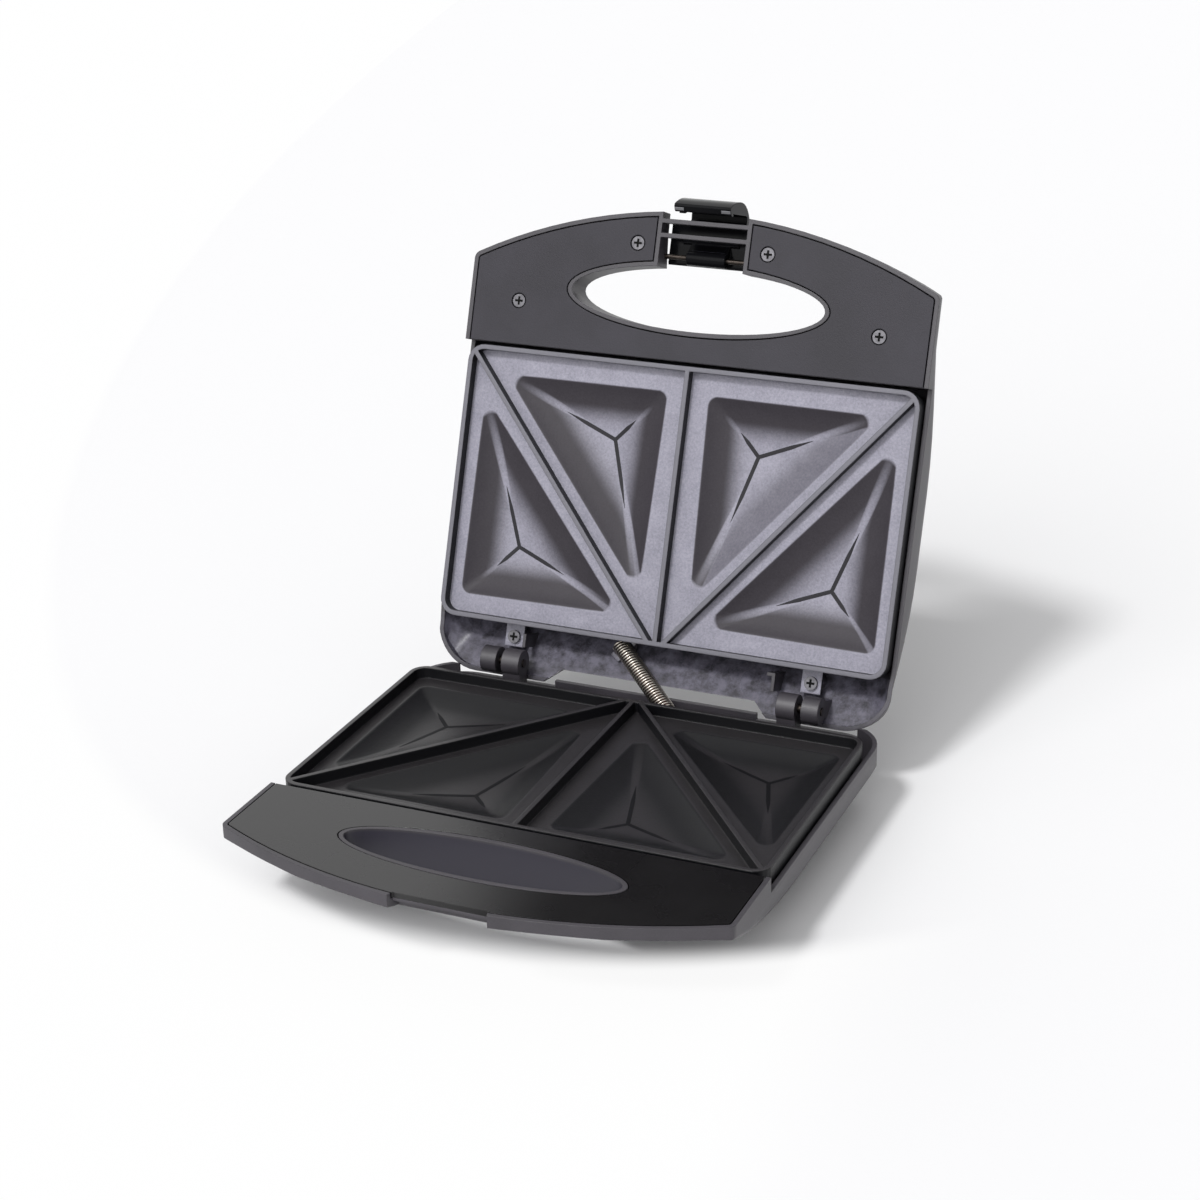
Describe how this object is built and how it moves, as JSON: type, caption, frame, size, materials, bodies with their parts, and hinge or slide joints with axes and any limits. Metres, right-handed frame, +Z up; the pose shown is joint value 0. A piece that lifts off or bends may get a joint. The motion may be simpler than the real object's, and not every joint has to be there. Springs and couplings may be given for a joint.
{
  "type": "sandwich toaster",
  "caption": "Countertop sandwich toaster standing open: hinged lid and base with handles, triangle-pocket hotplates, front latch and spring conduit.",
  "frame": {"origin": "centre of the bounding box of the open toaster, on its resting surface", "axes": "+X to the right as seen from the handles, +Y towards the hinge and the back, +Z up"},
  "size_m": [0.229, 0.3147, 0.252],
  "materials": {
    "housing_plastic": "dark grey moulded plastic, satin",
    "lower_cover_plastic": "dark grey moulded plastic, fine satin",
    "upper_cover_plastic": "dark grey moulded plastic, fine satin",
    "latch_plastic": "black, glossy",
    "upper_plate_coating": "cast, with a speckled grey non-stick coating",
    "lower_plate_coating": "cast, with a dark satin non-stick coating",
    "screw_steel": "zinc plated",
    "pin_steel": "bright drawn wire",
    "spring_steel": "nickel plated wire",
    "heater_steel": "heat darkened",
    "reflector_sheet": "bright rolled sheet",
    "foot_rubber": "matte black",
    "terminal_plastic": "off-white, matte",
    "lead_sleeve": "woven heat-proof sleeve",
    "fuse_metal": "plain can",
    "red_lens": "clear red, glossy",
    "green_lens": "clear green, glossy",
    "lamp_glass": "clear"
  },
  "bodies": {
    "base": {"lower_housing": "housing_plastic", "lower_handle_cover": "lower_cover_plastic", "lower_cover_screws": "screw_steel", "lower_plate": "lower_plate_coating", "lower_plate_screws": "screw_steel", "lower_heater": "heater_steel", "lower_reflector": "reflector_sheet", "feet": "foot_rubber", "cord_gland": "foot_rubber", "terminal_block": "terminal_plastic", "hinge_pins": "pin_steel", "conduit_spring": "spring_steel", "conduit_leads": "lead_sleeve"},
    "lid": {"upper_housing": "housing_plastic", "upper_handle_cover": "upper_cover_plastic", "upper_cover_screws": "screw_steel", "upper_plate": "upper_plate_coating", "upper_plate_screws": "screw_steel", "upper_heater": "heater_steel", "upper_reflector": "reflector_sheet", "thermostat": "terminal_plastic", "thermal_fuse": "fuse_metal", "power_lens": "red_lens", "ready_lens": "green_lens", "neon_lamps": "lamp_glass", "latch_pin": "pin_steel"},
    "latch": {"latch": "latch_plastic"}
  },
  "joints": [
    {"name": "lid_hinge", "type": "hinge", "parent": "base", "child": "lid", "pos_m": [0, 0.06051, 0.042], "axis": [1, 0, 0], "range_deg": [0, 110.5], "deforming": ["conduit_spring", "conduit_leads"]},
    {"name": "latch_pivot", "type": "hinge", "parent": "lid", "child": "latch", "pos_m": [0, 0.13835, 0.2245], "axis": [1, 0, 0], "range_deg": [0, 22]}
  ]
}
